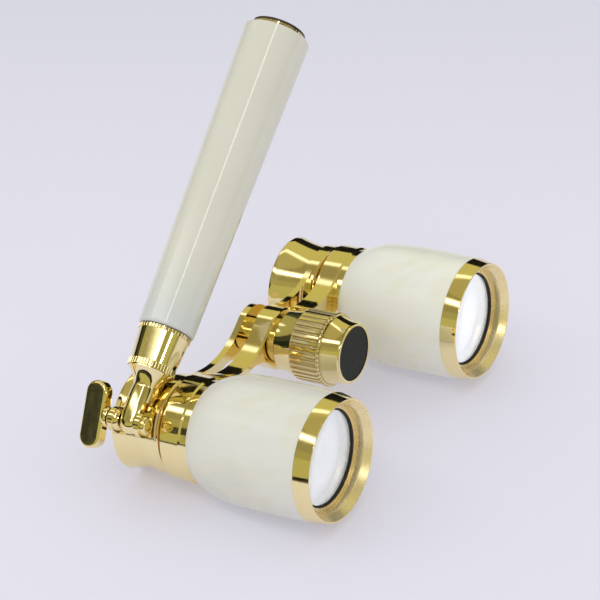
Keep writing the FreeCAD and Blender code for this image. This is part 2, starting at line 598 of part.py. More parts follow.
def handle_bracket():
    """Saddle and two ears, drawn with the hinge straight above the barrel axis and then leaned outwards."""
    label = "handle_bracket"
    front = "carriage_front + bracket_gap"
    body = new_body(label)
    saddle = new_sketch(body, "saddle", "XZ_Plane", front)
    rise = "sqrt(saddle_top_r ^ 2 - saddle_half_width ^ 2)"
    add_outline(saddle, [
        ("saddle_half_width", "saddle_foot"), ("saddle_half_width", rise, "saddle_top_r"),
        ("-saddle_half_width", rise), ("-saddle_half_width", "saddle_foot")])
    pad(body, "saddle_pad", saddle, f"ear_rear - ({front})")
    ears = (("rear_ear", "ear_rear - ear_rear_t + ear_round", "ear_rear_t - 2 * ear_round"),
            ("front_ear", front, "ear_front_t"))
    for name, start, thickness in ears:
        ear = new_sketch(body, name, "XZ_Plane", start)
        add_outline(ear, [
            ("ear_r", "saddle_foot"), ("ear_r", "hinge_reach", "ear_r"),
            ("0", "hinge_reach + ear_r", "ear_r"), ("-ear_r", "hinge_reach"), ("-ear_r", "saddle_foot")])
        pad(body, name + "_pad", ear, thickness)
    rounded_ear(body)
    ahead = "-carriage_front + bracket_margin"
    seat = new_sketch(body, "seat", "XY_Plane")
    add_outline(seat, [
        ("0", ahead), ("rear_ring_r", ahead), ("rear_ring_r", "-carriage_rear"),
        ("cup_neck_r", "-carriage_rear", "cup_flare_bow"), ("cup_rear_r", "-cup_rear + cup_rim_round"),
        ("0", "-cup_rear + cup_rim_round")])
    remove(body, "seat_groove", "Groove", seat, ReferenceAxis=(seat, ["V_Axis"]), Angle=360)
    hole = new_sketch(body, "hinge_hole", "XZ_Plane", "carriage_front - bracket_margin")
    add_circle(hole, "0", "hinge_reach", "shank_hole_r")
    remove(body, "hinge_hole_cut", "Pocket", hole, Type=1, Reversed=True)
    outward = 90 - value("hinge_angle")
    body.Placement = Placement(Vector(), Rotation(Vector(0, 1, 0), outward))
    on_barrel(body, SIDES["right"])


def pivot_nut():
    front = "hinge_depth - pivot_nut_front"
    rear = "hinge_depth - carriage_front - bracket_gap"
    body = turned("pivot_nut", [
        ("pivot_nut_in_r", rear), ("pivot_nut_r", rear),
        ("pivot_nut_r", front + " - pivot_nut_round", "pivot_nut_bow"),
        ("pivot_nut_in_r + pivot_nut_mouth", front), ("pivot_nut_in_r", front)])
    at_hinge(body)


def thumb_screw():
    bearing = "hinge_depth - ear_rear - thrust_gap"
    shank = turned("thumb_screw_shank", [
        ("0", "hinge_depth - wing_front"), ("knob_r", "hinge_depth - wing_front", "knob_bow"),
        ("knob_r", bearing), ("shank_r", bearing), ("shank_r", "hinge_depth - shank_front - shank_tip"),
        ("shank_r - shank_tip", "hinge_depth - shank_front"), ("0", "hinge_depth - shank_front")])
    at_hinge(shank)
    wing = new_body("thumb_screw_wing")
    outline = new_sketch(wing, "wing_outline", "XY_Plane")
    near = "hinge_depth - wing_front"
    middle = "hinge_depth - wing_front - wing_width / 2"
    far = "hinge_depth - wing_front - wing_width"
    straight = "(wing_length - wing_width) / 2"
    end_r = "wing_width / 2"
    add_outline(outline, [
        ("-" + straight, far), (straight, far, end_r), ("wing_length / 2", middle, end_r), (straight, near),
        ("-" + straight, near, end_r), ("-wing_length / 2", middle, end_r)])
    plate = pad(wing, "wing_plate", outline, "wing_t", midplane=True)
    edges = [f"Edge{number}" for number, edge in enumerate(plate.Shape.Edges, start=1)
             if edge.BoundBox.ZLength < 1e-6]
    rounding = wing.newObject("PartDesign::Fillet", "wing_rounding")
    rounding.Base = (plate, edges)
    bind(rounding, "Radius", "wing_round")
    doc.recompute()
    at_hinge(wing, Rotation(Vector(0, 1, 0), 90 - value("wing_lean")))


# ---------------------------------------------------------------- handle

def handle_tongue():
    """Ball end between the ears, waisted neck and a flare under the collar, with flats for the ears."""
    body = turned("handle_tongue", [
        ("0", "-tongue_r", "tongue_r"), ("tongue_r", "0", "belly_bow"),
        ("neck_waist_r", "neck_waist", "-flare_bow"), ("flare_r", "flare_top"), ("flare_r", "collar_start"),
        ("tongue_spigot_r", "collar_start"), ("tongue_spigot_r", "tongue_spigot_top"),
        ("0", "tongue_spigot_top")])
    for name, turned_round in (("front_flat", False), ("rear_flat", True)):
        flat = new_sketch(body, name, "XY_Plane")
        add_circle(flat, "0", "0", "tongue_clear_r")
        offset = "tongue_half_t" if not turned_round else "-tongue_half_t"
        bind(flat, "AttachmentOffset.Base.z", offset)
        remove(body, name + "_cut", "Pocket", flat, Type=1, Reversed=not turned_round)
    hole = new_sketch(body, "pin_hole", "XY_Plane")
    add_circle(hole, "0", "0", "shank_hole_r")
    remove(body, "pin_hole_cut", "Pocket", hole, Type=1, Midplane=True)
    along_handle(body)


def knurled_ring(label, outer, inner, start, end, count):
    """Coin-edged ring about the handle's axis; the flutes run the whole width."""
    body = tube(label, outer, inner, start, end)
    flute(body, label, outer + " + knurl_proud", "knurl_r", count, f"-({end})")
    along_handle(body)


def collar():
    ring_top = "collar_start + collar_ring_t"
    knurled_ring("collar_ring_lower", "collar_ring_r", "tongue_spigot_r", "collar_start", ring_top,
                 "knurl_count")
    body = turned("collar", [
        ("tongue_spigot_r", ring_top), ("collar_low_r", ring_top), ("collar_high_r", "collar_top"),
        ("inner_tube_r", "collar_top"), ("inner_tube_r", "tongue_spigot_top"),
        ("tongue_spigot_r", "tongue_spigot_top")])
    along_handle(body)
    knurled_ring("collar_ring_upper", "upper_ring_r", "inner_tube_r", "collar_top",
                 "collar_top + upper_ring_t", "knurl_count")


def inner_tube():
    body = tube("inner_tube", "inner_tube_r", "inner_tube_r - inner_tube_wall",
                "tongue_spigot_top", "inner_tube_top")
    along_handle(body)
    stop = tube("tube_stop_ring", "stop_ring_r", "inner_tube_r",
                "inner_tube_top - stop_ring_t", "inner_tube_top")
    along_handle(stop)


def handle_sleeve():
    body = turned("handle_sleeve", [
        ("sleeve_bore_r", "sleeve_start"), ("sleeve_low_r - sleeve_round", "sleeve_start", "sleeve_round"),
        ("sleeve_low_r", "sleeve_start + sleeve_round"),
        ("sleeve_high_r", "sleeve_end - sleeve_top_round", "sleeve_top_round"),
        ("sleeve_high_r - sleeve_top_round", "sleeve_end"), ("sleeve_bore_r", "sleeve_end")])
    along_handle(body)
    bush = tube("sleeve_bush", "sleeve_bore_r", "inner_tube_r + running_gap",
                "sleeve_start + bush_gap", "sleeve_start + bush_gap + bush_t")
    along_handle(bush)


def sleeve_end():
    stem_r = "end_cap_r - cap_stem_step"
    knurled_ring("sleeve_end_ring", "end_ring_r", stem_r, "sleeve_end", "sleeve_end + end_ring_t",
                 "knurl_count")
    rise = "(end_cap_bow - sqrt(end_cap_bow ^ 2 - end_cap_r ^ 2))"
    base = "sleeve_end + end_ring_t"
    cap = turned("sleeve_cap", [
        ("0", "sleeve_end - cap_stem_t"), (stem_r, "sleeve_end - cap_stem_t"), (stem_r, base),
        ("end_cap_r", base), ("end_cap_r", base + " + cap_side", "end_cap_bow"),
        ("0", base + " + cap_side + " + rise)])
    along_handle(cap)


def build():
    front_bridge()
    rear_bridge()
    for name, side in SIDES.items():
        for piece in (objective_bezel, objective_ring, objective_lens, barrel_tube, pearl_sleeve,
                      draw_tube, eyecup, eye_lens_parts):
            piece(name, side)
    for piece in (hub_sleeve, wheel_retaining_ring, focus_wheel, wheel_bead_ring, focus_nut, wheel_cap,
                  lead_screw, spindle_nut, handle_bracket, pivot_nut, thumb_screw, handle_tongue, collar,
                  inner_tube, handle_sleeve, sleeve_end):
        piece()
    doc.recompute()


def check():
    """Stops if any object failed or any sub-part isn't one sound solid."""
    for item in doc.Objects:
        if any(word in item.State for word in ("Invalid", "Error")):
            raise RuntimeError(f"{item.Label}: {item.State}")
    for body in subparts:
        shape = body.Shape
        if shape.isNull() or not shape.isValid() or len(shape.Solids) != 1:
            raise RuntimeError(f"{body.Label} isn't one sound solid")


def write():
    os.makedirs("parts", exist_ok=True)
    for body in subparts:
        body.Shape.exportStep(f"parts/{body.Label}.step")
        box = body.Shape.BoundBox
        print(f"{body.Label:26s} {body.Shape.Volume:9.1f} mm3  x {box.XMin:7.2f} {box.XMax:7.2f}"
              f"  y {box.YMin:7.2f} {box.YMax:7.2f}  z {box.ZMin:7.2f} {box.ZMax:7.2f}")


build()
check()
write()
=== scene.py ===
"""Looks of the folding-handle opera glasses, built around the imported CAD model.

The barrels lie along Y with their objectives towards +Y, Z is up.  Metres.
"""

import math

import bpy
from mathutils import Matrix, Vector


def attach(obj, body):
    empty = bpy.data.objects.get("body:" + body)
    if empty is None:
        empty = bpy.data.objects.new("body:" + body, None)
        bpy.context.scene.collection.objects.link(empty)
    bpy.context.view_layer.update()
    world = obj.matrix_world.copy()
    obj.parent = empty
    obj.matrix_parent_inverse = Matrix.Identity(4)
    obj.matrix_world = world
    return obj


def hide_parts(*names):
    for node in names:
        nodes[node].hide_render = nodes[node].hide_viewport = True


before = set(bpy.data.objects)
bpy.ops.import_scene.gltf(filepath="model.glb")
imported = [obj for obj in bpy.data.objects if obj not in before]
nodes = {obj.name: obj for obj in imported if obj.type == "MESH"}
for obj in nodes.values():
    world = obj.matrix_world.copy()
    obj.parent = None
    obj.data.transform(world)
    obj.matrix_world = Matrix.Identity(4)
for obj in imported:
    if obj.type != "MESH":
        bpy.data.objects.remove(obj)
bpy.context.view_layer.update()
SIDES = ("right", "left")


# ---------------------------------------------------------------- places

BARREL_X = 0.0382
AXIS_Z = 0.017
REST_TILT = math.radians(4.25)      # the table against the barrels' axes
REST_Y = -0.018                     # where the widest ring of the barrels touches the table
HANDLE_ALONG = (-0.768284, 0.0, 0.64011)
SLEEVE_FOOT = 0.003                 # the sleeve's lower end, measured along the handle from the origin

# ---------------------------------------------------------------- smooth shading

SHARP_EDGE = math.radians(28)
WELD_REACH = 0.000002


def smoothing():
    """Node group that shades curved faces smoothly and keeps real edges sharp."""
    group = bpy.data.node_groups.new("smooth_shading", "GeometryNodeTree")
    group.interface.new_socket("Geometry", in_out="INPUT", socket_type="NodeSocketGeometry")
    group.interface.new_socket("Geometry", in_out="OUTPUT", socket_type="NodeSocketGeometry")
    start = group.nodes.new("NodeGroupInput")
    end = group.nodes.new("NodeGroupOutput")
    plain_normals = group.nodes.new("GeometryNodeRemoveAttribute")
    plain_normals.inputs["Name"].default_value = "custom_normal"
    weld = group.nodes.new("GeometryNodeMergeByDistance")
    weld.inputs["Distance"].default_value = WELD_REACH
    faces = group.nodes.new("GeometryNodeSetShadeSmooth")
    edges = group.nodes.new("GeometryNodeSetShadeSmooth")
    edges.domain = "EDGE"
    edges.inputs["Shade Smooth"].default_value = False
    angle = group.nodes.new("GeometryNodeInputMeshEdgeAngle")
    sharp = group.nodes.new("FunctionNodeCompare")
    sharp.inputs["B"].default_value = SHARP_EDGE
    group.links.new(start.outputs[0], plain_normals.inputs["Geometry"])
    group.links.new(plain_normals.outputs["Geometry"], weld.inputs["Geometry"])
    group.links.new(weld.outputs["Geometry"], faces.inputs["Geometry"])
    group.links.new(faces.outputs["Geometry"], edges.inputs["Geometry"])
    group.links.new(angle.outputs["Unsigned Angle"], sharp.inputs["A"])
    group.links.new(sharp.outputs["Result"], edges.inputs["Selection"])
    group.links.new(edges.outputs["Geometry"], end.inputs[0])
    return group


SMOOTHING = smoothing()
for node in nodes.values():
    node.modifiers.new("smooth_shading", "NODES").node_group = SMOOTHING

# ---------------------------------------------------------------- turned pieces


def arc_points(centre, radius, first, last, count):
    """Points of an arc in a (radius, depth) profile, from one angle in degrees to another."""
    turns = [math.radians(first + (last - first) * step / count) for step in range(count + 1)]
    return [(centre[0] + radius * math.cos(turn), centre[1] + radius * math.sin(turn))
            for turn in turns]


def grooved(start, end, pitch, depth):
    """Fine turning marks between two profile points: a zigzag that dips into the metal."""
    length = math.dist(start, end)
    count = max(2, round(length / pitch))
    outward = ((end[1] - start[1]) / length, -(end[0] - start[0]) / length)
    marks = []
    for step in range(2 * count + 1):
        share = step / (2 * count)
        dip = depth if step % 2 else 0.0
        marks.append((start[0] + (end[0] - start[0]) * share + outward[0] * dip,
                      start[1] + (end[1] - start[1]) * share + outward[1] * dip))
    return marks


LATHE_STEPS = 160


def lathe(name, profile, centre, inner_from):
    """A closed ring turned about Y, from a profile of (radius, y) points in mm.

    From the profile's point inner_from on, the faces take the second material.
    """
    rows = len(profile)
    points = []
    for step in range(LATHE_STEPS):
        turn = 2 * math.pi * step / LATHE_STEPS
        for radius, y in profile:
            points.append((centre[0] + radius * math.cos(turn) / 1000, y / 1000,
                           centre[1] + radius * math.sin(turn) / 1000))
    faces = []
    for step in range(LATHE_STEPS):
        here, after = step * rows, (step + 1) % LATHE_STEPS * rows
        for row in range(rows):
            following = (row + 1) % rows
            faces.append((here + row, here + following, after + following, after + row))
    mesh = bpy.data.meshes.new(name)
    mesh.from_pydata(points, [], faces)
    for index, face in enumerate(mesh.polygons):
        face.material_index = 1 if index % rows >= inner_from else 0
    item = bpy.data.objects.new(name, mesh)
    bpy.context.scene.collection.objects.link(item)
    item.modifiers.new("smooth_shading", "NODES").node_group = SMOOTHING
    return item


RIM_ROUND = 0.16
LIP_ROUND = 0.3


def bezel(side, sign):
    """Gold end ring: polished cone outside, rounded rims, and a turned chamfer and bore inside."""
    outside = [(14.6, -7.45), (14.6, -4.9), (15.3, -4.9), (15.3, -4.3), (16.62, -4.3)]
    outside += arc_points((16.62, -4.14), RIM_ROUND, -90, 6, 6)
    outside += arc_points((15.74, -RIM_ROUND), RIM_ROUND, 6, 90, 6)
    outside += [(15.62, 0.0)]
    chamfer = grooved((15.52, -0.03), (13.92, -1.8), 0.24, 0.018)
    bore = grooved((13.9, -1.86), (13.9, -3.98), 0.21, 0.018)
    inside = chamfer + bore + [(13.6, -4.0), (13.6, -7.45)]
    piece = lathe(f"turned_bezel_{side}", outside + inside, (sign * BARREL_X, AXIS_Z), len(outside) - 1)
    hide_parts(f"objective_bezel_{side}")
    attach(piece, "barrels")
    return piece


def lens_ring(side, sign):
    """Ring that holds the objective: turned gold face and a blackened inner lip."""
    lip = [(12.78, -4.0)] + arc_points((12.5, -4.3), LIP_ROUND, 90, 180, 5)
    lip += [(12.2, -4.32), (12.2, -4.7), (12.5, -5.0), (13.6, -5.0)]
    face = [(13.6, -4.0)] + grooved((13.56, -4.0), (12.8, -4.0), 0.19, 0.015)
    piece = lathe(f"lens_ring_{side}", lip + face, (sign * BARREL_X, AXIS_Z), len(lip))
    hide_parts(f"objective_ring_{side}")
    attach(piece, "barrels")
    return piece


BEZELS = [bezel(side, sign) for side, sign in zip(SIDES, (1, -1))]
LENS_RINGS = [lens_ring(side, sign) for side, sign in zip(SIDES, (1, -1))]

# ---------------------------------------------------------------- shader helpers


class Shader:
    """One material's node tree, with short calls to add and join nodes."""

    def __init__(self, name):
        self.material = bpy.data.materials.new(name)
        self.material.use_nodes = True
        self.tree = self.material.node_tree
        self.surface = self.tree.nodes["Principled BSDF"]
        self.place = self.add("ShaderNodeTexCoord").outputs["Object"]

    def add(self, kind, **settings):
        node = self.tree.nodes.new(kind)
        for key, setting in settings.items():
            setattr(node, key, setting)
        return node

    def join(self, source, target):
        self.tree.links.new(source, target)

    def put(self, socket, source):
        """Sets a socket to a number or colour, or links it to another node's output."""
        if isinstance(source, bpy.types.NodeSocket):
            self.join(source, socket)
        elif socket.type == "RGBA":
            socket.default_value = (*source[:3], 1.0)
        else:
            socket.default_value = source

    def math(self, operation, first, second):
        node = self.add("ShaderNodeMath", operation=operation)
        self.put(node.inputs[0], first)
        self.put(node.inputs[1], second)
        return node.outputs[0]

    def scaled(self, place, scale):
        node = self.add("ShaderNodeVectorMath", operation="MULTIPLY")
        self.put(node.inputs[0], place)
        node.inputs[1].default_value = scale
        return node.outputs[0]

    def moved(self, place, offset):
        node = self.add("ShaderNodeVectorMath", operation="SUBTRACT")
        self.put(node.inputs[0], place)
        node.inputs[1].default_value = offset
        return node.outputs[0]

    def noise(self, place, scale, detail=3.0, roughness=0.5, distortion=0.0):
        node = self.add("ShaderNodeTexNoise")
        self.put(node.inputs["Vector"], place)
        node.inputs["Scale"].default_value = scale
        node.inputs["Detail"].default_value = detail
        node.inputs["Roughness"].default_value = roughness
        node.inputs["Distortion"].default_value = distortion
        return node.outputs["Fac"]

    def span(self, source, low, high, to_low=0.0, to_high=1.0):
        """Maps low..high to to_low..to_high, held at both ends."""
        node = self.add("ShaderNodeMapRange")
        self.put(node.inputs["Value"], source)
        limits = (("From Min", low), ("From Max", high), ("To Min", to_low), ("To Max", to_high))
        for name, number in limits:
            node.inputs[name].default_value = number
        return node.outputs["Result"]

    def mix(self, factor, first, second):
        node = self.add("ShaderNodeMix", data_type="RGBA")
        self.put(node.inputs["Factor"], factor)
        self.put(node.inputs["A"], first)
        self.put(node.inputs["B"], second)
        return node.outputs["Result"]

    def ramp(self, factor, stops):
        node = self.add("ShaderNodeValToRGB")
        elements = node.color_ramp.elements
        while len(elements) < len(stops):
            elements.new(0.5)
        for element, (position, shade) in zip(elements, stops):
            element.position = position
            element.color = (*shade, 1.0)
        self.put(node.inputs["Fac"], factor)
        return node.outputs["Color"]

    def bump(self, height, depth):
        node = self.add("ShaderNodeBump")
        self.put(node.inputs["Height"], height)
        node.inputs["Distance"].default_value = depth
        node.inputs["Strength"].default_value = 1.0
        return node.outputs["Normal"]

    def corner_shade(self, reach):
        """Mask for painted shade: 0 in the open, 1 deep in a corner, from ambient occlusion."""
        node = self.add("ShaderNodeAmbientOcclusion", samples=8)
        node.inputs["Distance"].default_value = reach
        return self.math("SUBTRACT", 1.0, node.outputs["AO"])

    def finish(self, **sockets):
        for name, source in sockets.items():
            self.put(self.surface.inputs[name.replace("_", " ")], source)
        return self.material


def wear(material, *names):
    """Gives CAD nodes a material."""
    for name in names:
        nodes[name].data.materials.clear()
        nodes[name].data.materials.append(material)


# ---------------------------------------------------------------- materials

def gold(name, corner=(0.35, 0.95), shade=(0.42, 0.24, 0.06)):
    """Polished gold plate: thin smudges, hairline scratches, and painted shade that darkens the metal
    in the corners.
    """
    s = Shader(name)
    smudge = s.noise(s.place, 95.0, 4.0, 0.6, 0.4)
    fine = s.noise(s.place, 900.0, 3.0, 0.6)
    scratch = s.noise(s.scaled(s.place, (300.0, 2600.0, 700.0)), 1.0, 2.0, 0.7)
    tone = s.mix(s.span(smudge, 0.3, 0.75), (0.95, 0.80, 0.42), (0.98, 0.85, 0.48))
    # painted shade: the gold turns dark brown in corners and grooves, where ambient occlusion finds
    # them
    tone = s.mix(s.span(s.corner_shade(0.0012), *corner, 0.0, 0.75), tone, shade)
    rough = s.math("ADD", s.span(smudge, 0.42, 0.72, 0.06, 0.11), s.span(fine, 0.45, 0.8, 0.0, 0.05))
    height = s.math("ADD", s.math("MULTIPLY", fine, 0.6), s.math("MULTIPLY", scratch, 0.4))
    normal = s.bump(height, 0.000004)
    return s.finish(Base_Color=tone, Metallic=1.0, Roughness=rough, Normal=normal)


SPECK_SCALE = 1500.0
SPECK_DEPTH = 0.00001


def plain(name, shade, rough, metal=0.0, gloss=0.5):
    """An even surface with fine specks in tone, gloss and height."""
    s = Shader(name)
    speck = s.noise(s.place, SPECK_SCALE, 4.0, 0.6)
    tone = s.mix(speck, tuple(0.8 * part for part in shade), tuple(1.2 * part for part in shade))
    return s.finish(Base_Color=tone, Metallic=metal, Specular_IOR_Level=gloss,
                    Roughness=s.span(speck, 0.3, 0.7, rough - 0.08, rough + 0.08),
                    Normal=s.bump(speck, SPECK_DEPTH))


# painted light: the left barrel's pearl is painted about a sixth lighter than the right one's, for the
# light that falls less on it
PEARL_PAINTED_LIGHT = {1: (0.99, 1.0, 0.97), -1: (1.16, 1.18, 1.14)}     # right and left barrel


def pearl(name, side):
    """Mother-of-pearl: soft clouds of cream and grey with a finer grain along the barrel."""
    s = Shader(name)
    centre = s.moved(s.place, (side * BARREL_X, 0.0, AXIS_Z))
    cloud = s.noise(s.scaled(centre, (60.0, 30.0, 60.0)), 1.0, 3.0, 0.55, 0.8)
    fine = s.noise(s.scaled(centre, (500.0, 90.0, 500.0)), 1.0, 4.0, 0.6, 1.2)
    shades = [(0.30, (0.66, 0.66, 0.60)), (0.45, (0.72, 0.70, 0.59)), (0.55, (0.73, 0.73, 0.66)),
              (0.70, (0.75, 0.71, 0.65))]
    # every colour of the ramp is scaled by its side's painted light
    tone = s.ramp(cloud, [(position, tuple(part * tint for part, tint in zip(shade, PEARL_PAINTED_LIGHT[side])))
                          for position, shade in shades])
    tone = s.mix(s.span(fine, 0.35, 0.75, 0.0, 0.25), tone, (0.80, 0.78, 0.72))
    return s.finish(Base_Color=tone, Specular_IOR_Level=0.22,
                    Roughness=s.span(fine, 0.3, 0.8, 0.16, 0.26))


def ivory(name):
    """Glossy ivory-white grip, a little cooler at the end by the collar."""
    s = Shader(name)
    cloud = s.noise(s.place, 40.0, 3.0, 0.5)
    tone = s.mix(cloud, (0.655, 0.64, 0.525), (0.715, 0.71, 0.595))
    along = s.add("ShaderNodeVectorMath", operation="DOT_PRODUCT")
    s.join(s.place, along.inputs[0])
    along.inputs[1].default_value = HANDLE_ALONG
    cool = s.span(along.outputs["Value"], SLEEVE_FOOT, SLEEVE_FOOT + 0.016, 0.85, 0.0)
    tone = s.mix(cool, tone, (0.60, 0.63, 0.59))
    return s.finish(Base_Color=tone, Specular_IOR_Level=0.5,
                    Roughness=s.span(cloud, 0.3, 0.7, 0.06, 0.09))


def glass(name):
    """Clear glass with faint smudges and a slight tint of its coating."""
    s = Shader(name)
    smudge = s.noise(s.place, 130.0, 3.0, 0.6, 0.5)
    tone = s.mix(s.span(smudge, 0.35, 0.7), (0.97, 0.97, 0.98), (0.95, 0.98, 0.97))
    return s.finish(Base_Color=tone, Transmission_Weight=1.0, IOR=1.5,
                    Roughness=s.span(smudge, 0.5, 0.75, 0.0, 0.03))


# painted light inside the barrels: how strongly the lacquer glows, and how dark the painted shadow line
# at the step is, per side
TUBE_PAINTED_GLOW = {"right": 0.40, "left": 0.55}
TUBE_STEP_SHADOW = {"right": (0.54, 0.56, 0.58), "left": (0.24, 0.25, 0.26)}


def white_lacquer(name, glow, step_shadow):
    """Inside of the barrels: white lacquer with a painted glow, bands of painted light and shade along
    the depth, bluish deep inside, and a thin painted shadow line across it.
    """
    s = Shader(name)
    split = s.add("ShaderNodeSeparateXYZ")
    s.join(s.place, split.inputs[0])
    depth = s.span(split.outputs["Y"], -0.022, -0.007)
    cloud = s.noise(s.place, 120.0, 3.0, 0.5)
    # bands of painted light and shade along the depth, with the painted shadow line at the step
    tone = s.ramp(depth, [(0.0, (0.78, 0.77, 0.86)), (0.27, (0.90, 0.90, 0.97)), (0.33, step_shadow),
                          (0.38, (0.68, 0.70, 0.70)), (0.50, (0.90, 0.91, 0.92)),
                          (0.62, (0.72, 0.73, 0.75)), (1.0, (0.84, 0.85, 0.86))])
    tone = s.mix(s.span(cloud, 0.3, 0.7, 0.0, 0.12), tone, (0.70, 0.71, 0.72))
    # painted light: the lacquer glows by its own emission
    return s.finish(Base_Color=tone, Roughness=0.5, Emission_Color=tone, Emission_Strength=glow)


def turned_gold(name):
    """Gold with fine turning marks: a soft, streaky gloss, with painted shade in the corners."""
    s = Shader(name)
    smudge = s.noise(s.place, 160.0, 4.0, 0.6, 0.4)
    fine = s.noise(s.place, 1800.0, 3.0, 0.6)
    tone = s.mix(s.span(smudge, 0.3, 0.75), (0.90, 0.74, 0.38), (0.97, 0.83, 0.48))
    # painted shade: darker brown in corners and grooves, where ambient occlusion finds them
    tone = s.mix(s.span(s.corner_shade(0.0012), 0.35, 0.95, 0.0, 0.75), tone, (0.42, 0.24, 0.06))
    return s.finish(Base_Color=tone, Metallic=0.62, Roughness=s.span(smudge, 0.3, 0.75, 0.22, 0.34),
                    Normal=s.bump(fine, 0.000008))


def brown_gold(name):
    """Unpolished gold on the sliding tubes, browner than the rest."""
    s = Shader(name)
    smudge = s.noise(s.place, 220.0, 4.0, 0.6, 0.4)
    tone = s.mix(s.span(smudge, 0.3, 0.75), (0.30, 0.14, 0.035), (0.62, 0.34, 0.10))
    return s.finish(Base_Color=tone, Metallic=1.0, Roughness=s.span(smudge, 0.3, 0.75, 0.12, 0.28))


GOLD = gold("gold_plate")
TURNED_GOLD = turned_gold("turned_gold")
BROWN_GOLD = brown_gold("brown_gold")
MATTE_BLACK = plain("matte_black", (0.012, 0.012, 0.014), 0.6)
CAP_BLACK = plain("wheel_cap_black", (0.010, 0.012, 0.0115), 0.55, gloss=0.3)
STEEL = plain("steel", (0.5, 0.5, 0.5), 0.3, metal=1.0)
DOME = plain("sleeve_dome", (0.05, 0.03, 0.02), 0.35)
GLASS = glass("optical_glass")

GOLD_NODES = ["front_bridge", "rear_bridge", "spindle_nut", "handle_bracket", "pivot_nut",
              "thumb_screw_shank", "thumb_screw_wing", "handle_tongue", "collar", "inner_tube",
              "tube_stop_ring", "hub_sleeve", "wheel_retaining_ring", "focus_nut"]
KNURLED_NODES = ["focus_wheel", "wheel_bead_ring", "collar_ring_lower", "collar_ring_upper",
                 "sleeve_end_ring"]
wear(GOLD, *GOLD_NODES)
# painted shade: on the knurled parts the occlusion darkening starts in shallower hollows and goes
# almost black
wear(gold("knurled_gold", (0.10, 0.42), (0.10, 0.06, 0.015)), *KNURLED_NODES)
for number, side in zip((1, -1), SIDES):
    wear(GOLD, f"eyecup_{side}")
    wear(BROWN_GOLD, f"draw_tube_{side}")
    wear(MATTE_BLACK, f"eye_lens_cell_{side}", f"eye_lens_ring_{side}")
    lacquer = white_lacquer(f"white_lacquer_{side}", TUBE_PAINTED_GLOW[side], TUBE_STEP_SHADOW[side])
    wear(lacquer, f"barrel_tube_{side}")
    wear(GLASS, f"objective_lens_{side}", f"eye_lens_{side}")
    wear(pearl(f"mother_of_pearl_{side}", number), f"pearl_sleeve_{side}")
    for lens in (f"objective_lens_{side}", f"eye_lens_{side}"):
        nodes[lens].visible_shadow = False
for pieces, front in ((BEZELS, GOLD), (LENS_RINGS, MATTE_BLACK)):
    for piece in pieces:
        piece.data.materials.append(front)
        piece.data.materials.append(TURNED_GOLD)
wear(CAP_BLACK, "wheel_cap")
wear(STEEL, "lead_screw")
wear(ivory("ivory_pearl"), "handle_sleeve")
wear(MATTE_BLACK, "sleeve_bush")
wear(DOME, "sleeve_cap")

# ---------------------------------------------------------------- stage

PAPER_LIFT = 0.00002     # the sheet that reflections show lies just above the floor


def only_mirrored(item):
    """Leaves an object out of everything but the reflections."""
    for flag in ("visible_camera", "visible_diffuse", "visible_shadow", "visible_transmission"):
        setattr(item, flag, False)


def sheet(name, low, high, lift, material):
    """A flat sheet on the table, from one corner to the other in the table's own directions."""
    mesh = bpy.data.meshes.new(name)
    mesh.from_pydata([(low[0], low[1], lift), (high[0], low[1], lift),
                      (high[0], high[1], lift), (low[0], high[1], lift)], [], [(0, 1, 2, 3)])
    mesh.materials.append(material)
    item = bpy.data.objects.new(name, mesh)
    bpy.context.scene.collection.objects.link(item)
    item.matrix_world = Matrix.Translation((0, REST_Y, 0)) @ Matrix.Rotation(-REST_TILT, 4, "X")
    return item


table_paper = Shader("table_paper")
table_away = table_paper.add("ShaderNodeVectorMath", operation="DOT_PRODUCT")
table_away.inputs[1].default_value = (0.83, 0.56, 0.0)
table_paper.join(table_paper.place, table_away.inputs[0])
PAPER_TONE = table_paper.mix(table_paper.noise(table_paper.place, 9.0, 2.0),
                             (0.50, 0.49, 0.545), (0.515, 0.505, 0.56))
# painted shade: the paper is darker towards the back, away from the camera
PAPER_TONE = table_paper.mix(table_paper.span(table_away.outputs["Value"], -0.34, -0.08, 0.0, 1.0),
                             (0.445, 0.447, 0.492), PAPER_TONE)
PAPER = table_paper.finish(Base_Color=PAPER_TONE, Roughness=0.6, Specular_IOR_Level=0.1,
                           Emission_Color=PAPER_TONE, Emission_Strength=0.53)
floor = sheet("floor", (-6, -6), (6, 6), 0.0, PAPER)
floor.visible_glossy = False
paper = sheet("paper", (-3, -3), (0.135, 3), PAPER_LIFT, PAPER)
only_mirrored(paper)

# ---------------------------------------------------------------- lights


def direction(azimuth, elevation):
    """Unit vector; azimuth in degrees from +X towards +Y, elevation in degrees above the XY plane."""
    a, e = math.radians(azimuth), math.radians(elevation)
    return Vector((math.cos(a) * math.cos(e), math.sin(a) * math.cos(e), math.sin(e)))


def facing(place, azimuth, elevation, lean=0.0):
    """Matrix of something whose local +Z points that way, turned about it by lean degrees."""
    toward = direction(azimuth, elevation)
    level_across = Vector((-math.sin(math.radians(azimuth)), math.cos(math.radians(azimuth)), 0))
    across = Matrix.Rotation(math.radians(lean), 3, toward) @ level_across
    turned = Matrix((across, toward.cross(across), toward)).transposed()
    return Matrix.Translation(place) @ turned.to_4x4()


AIM = Vector((0, -0.02, 0.02))      # what the lamps face
GLOW_PEAK = 1.5                     # the middle of a strip against its mean
WINDOW_LEAN = 60                    # lines the window's reflection up with the handle


